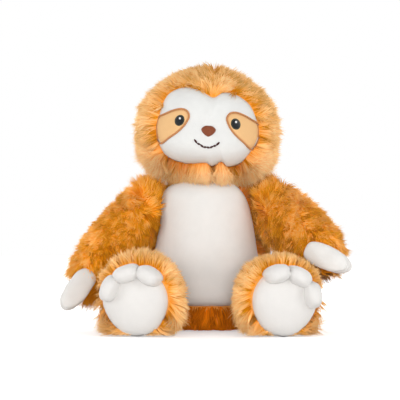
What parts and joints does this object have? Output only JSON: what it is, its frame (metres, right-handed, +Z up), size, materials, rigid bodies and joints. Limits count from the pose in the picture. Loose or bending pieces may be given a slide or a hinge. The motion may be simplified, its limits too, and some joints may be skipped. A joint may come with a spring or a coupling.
{
  "type": "plush sloth",
  "caption": "Stuffed long-haired sloth sitting upright with outstretched legs, white plush face, belly and claws, and limbs that bend at their seams.",
  "frame": {"origin": "middle of the flat seat face under the torso, on the floor", "axes": "+Z up, +X towards the toy's own left hand, +Y towards its back, so it faces -Y"},
  "size_m": [0.298, 0.2058, 0.2889],
  "materials": {
    "long_pile": "long matt pile, golden brown",
    "white_plush": "short smooth plush, off white",
    "patch_felt": "flat felt, tan",
    "eye_thread": "satin stitch, black",
    "nose_thread": "satin stitch, red brown",
    "mouth_thread": "satin stitch, dark brown",
    "filling": "loose polyester fibre, off white"
  },
  "bodies": {
    "torso": {"torso_cover": "long_pile", "belly_panel": "white_plush", "torso_filling": "filling"},
    "head": {"head_cover": "long_pile", "head_filling": "filling", "face_panel": "white_plush", "nose": "nose_thread", "mouth": "mouth_thread", "eye_patch_left": "patch_felt", "eye_left": "eye_thread", "eye_patch_right": "patch_felt", "eye_right": "eye_thread"},
    "arm_left": {"arm_cover_left": "long_pile", "arm_filling_left": "filling", "claw_left_1": "white_plush", "claw_left_2": "white_plush", "claw_left_3": "white_plush"},
    "arm_right": {"arm_cover_right": "long_pile", "arm_filling_right": "filling", "claw_right_1": "white_plush", "claw_right_2": "white_plush", "claw_right_3": "white_plush"},
    "leg_left": {"leg_cover_left": "long_pile", "leg_filling_left": "filling", "sole_left": "white_plush", "toe_left_1": "white_plush", "toe_left_2": "white_plush", "toe_left_3": "white_plush"},
    "leg_right": {"leg_cover_right": "long_pile", "leg_filling_right": "filling", "sole_right": "white_plush", "toe_right_1": "white_plush", "toe_right_2": "white_plush", "toe_right_3": "white_plush"}
  },
  "joints": [
    {"name": "head_turn", "type": "hinge", "parent": "torso", "child": "head", "pos_m": [0, 0, 0.158], "axis": [0, 0, 1], "range_deg": [-20, 20], "stiffness_Nm_per_rad": 0.3},
    {"name": "arm_lift_left", "type": "hinge", "parent": "torso", "child": "arm_left", "pos_m": [0.052, 0, 0.138], "axis": [-1, 0, 0], "range_deg": [0, 55], "stiffness_Nm_per_rad": 0.3},
    {"name": "arm_lift_right", "type": "hinge", "parent": "torso", "child": "arm_right", "pos_m": [-0.052, 0, 0.138], "axis": [-1, 0, 0], "range_deg": [0, 55], "stiffness_Nm_per_rad": 0.3},
    {"name": "leg_drop_left", "type": "hinge", "parent": "torso", "child": "leg_left", "pos_m": [0.0555, -0.03, 0], "axis": [0.9877, 0.1564, 0], "range_deg": [0, 60], "stiffness_Nm_per_rad": 0.5},
    {"name": "leg_drop_right", "type": "hinge", "parent": "torso", "child": "leg_right", "pos_m": [-0.0555, -0.03, 0], "axis": [0.9925, -0.1219, 0], "range_deg": [0, 60], "stiffness_Nm_per_rad": 0.5}
  ]
}
